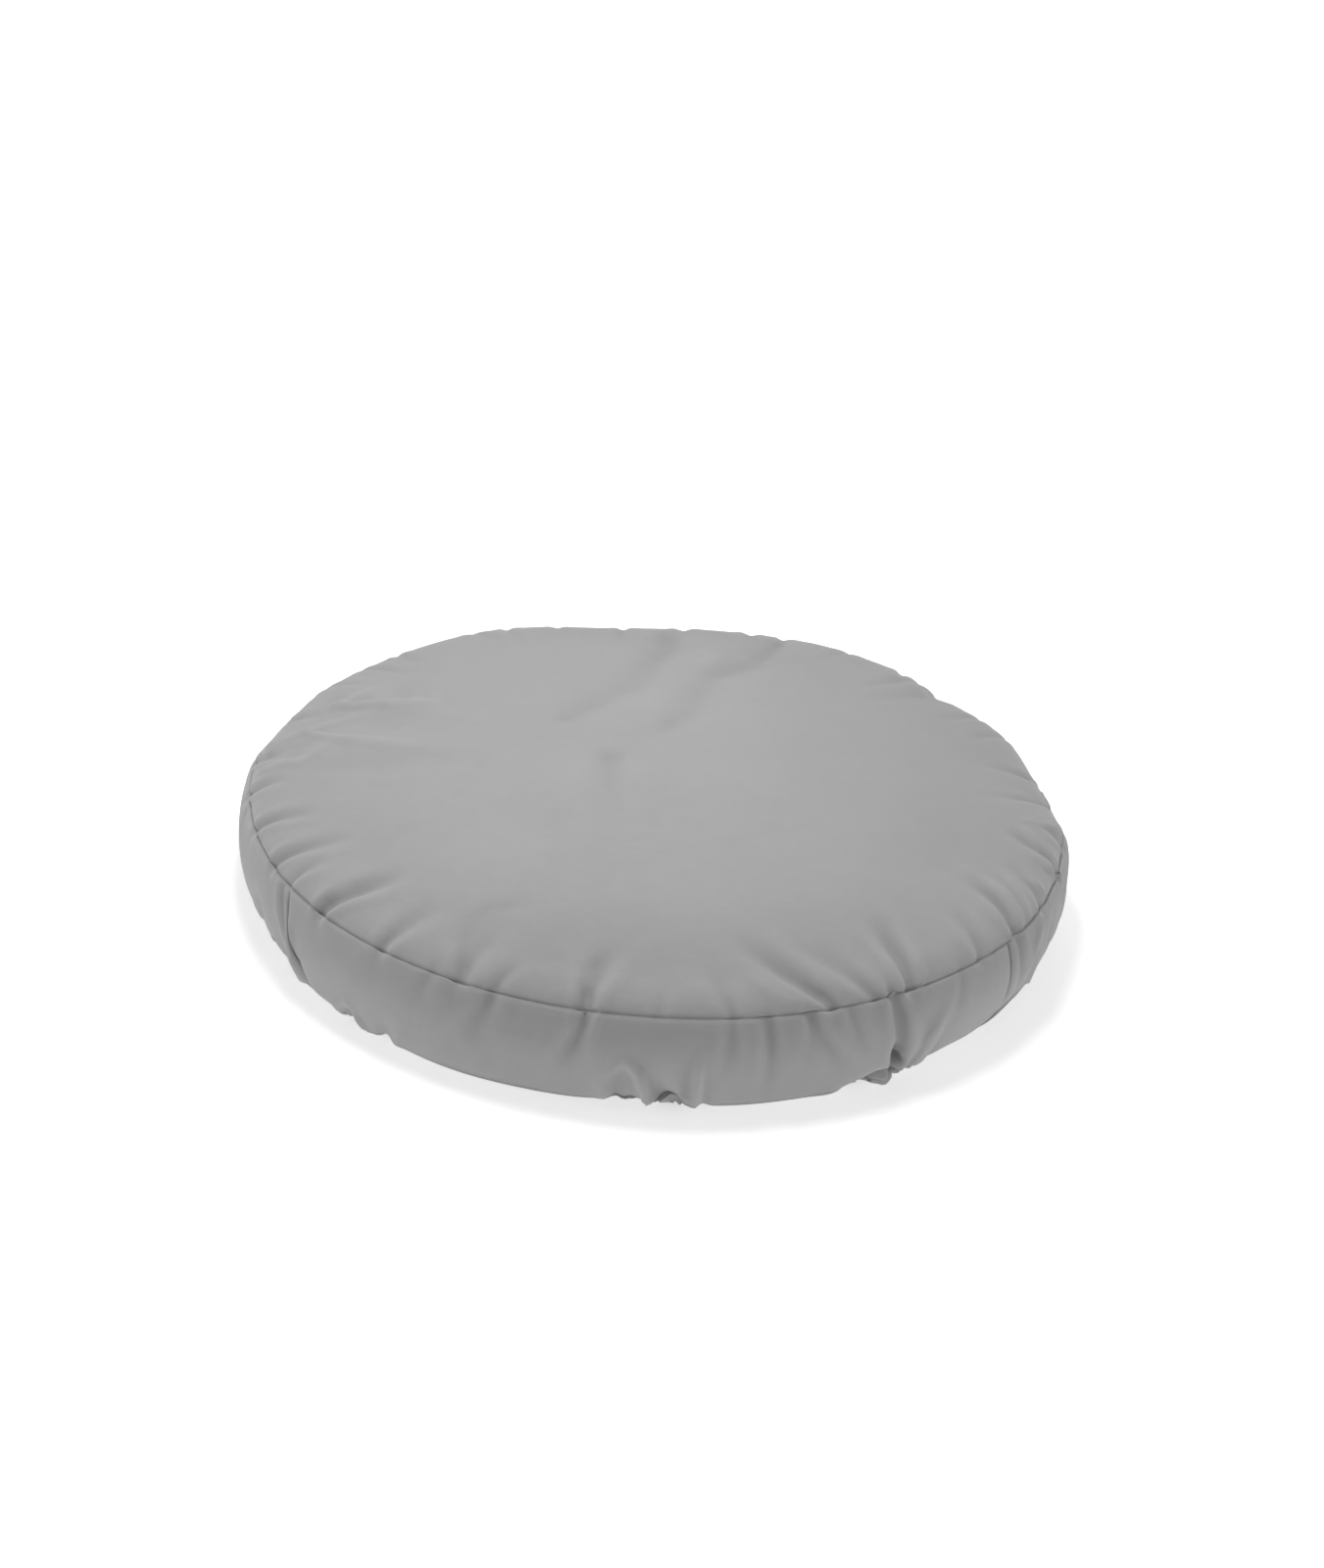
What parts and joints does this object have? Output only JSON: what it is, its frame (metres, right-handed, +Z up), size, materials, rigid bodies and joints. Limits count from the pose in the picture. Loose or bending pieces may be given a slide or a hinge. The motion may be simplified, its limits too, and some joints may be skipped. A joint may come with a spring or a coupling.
{
  "type": "round floor cushion",
  "caption": "Round, thick floor cushion in plain cloth: a puckered top and bottom panel joined by an upright band, with a hidden zip round the back.",
  "frame": {"origin": "on the floor under the centre of the cushion", "axes": "+Z up; -Y towards the plain front strip of the band; the zip runs round the +Y side and closes towards -X"},
  "size_m": [0.9, 0.8999, 0.134],
  "materials": {
    "cover_cloth": "matte, short soft pile",
    "liner_cloth": "plain non-woven",
    "fibre": "matte fibre",
    "zip_tape": "woven tape",
    "zip_coil": "satin",
    "zip_metal": "satin",
    "thread": "thread"
  },
  "bodies": {
    "cushion": {"top_panel": "cover_cloth", "bottom_panel": "cover_cloth", "front_band": "cover_cloth", "left_band": "cover_cloth", "right_band": "cover_cloth", "zip_band_upper": "cover_cloth", "zip_band_lower": "cover_cloth", "liner_top": "liner_cloth", "liner_side": "liner_cloth", "liner_bottom": "liner_cloth", "fibre_fill": "fibre", "zip_tape_upper": "zip_tape", "zip_tape_lower": "zip_tape", "zip_coil_upper": "zip_coil", "zip_coil_lower": "zip_coil", "zip_top_stops": "zip_metal", "zip_bottom_stop": "zip_metal", "top_seam_thread": "thread", "bottom_seam_thread": "thread", "side_seam_threads": "thread", "liner_seam_threads": "thread", "zip_stitching": "thread"},
    "slider": {"slider_body": "zip_metal"},
    "pull": {"pull_tab": "zip_metal"}
  },
  "joints": [
    {"name": "slider_travel", "type": "hinge", "parent": "cushion", "child": "slider", "pos_m": [0, 0, 0.057], "axis": [0, 0, 1], "range_deg": [-116.4, 0]},
    {"name": "pull_swing", "type": "hinge", "parent": "slider", "child": "pull", "pos_m": [-0.38321, 0.24027, 0.057], "axis": [0, 0, 1], "range_deg": [0, 175]}
  ]
}
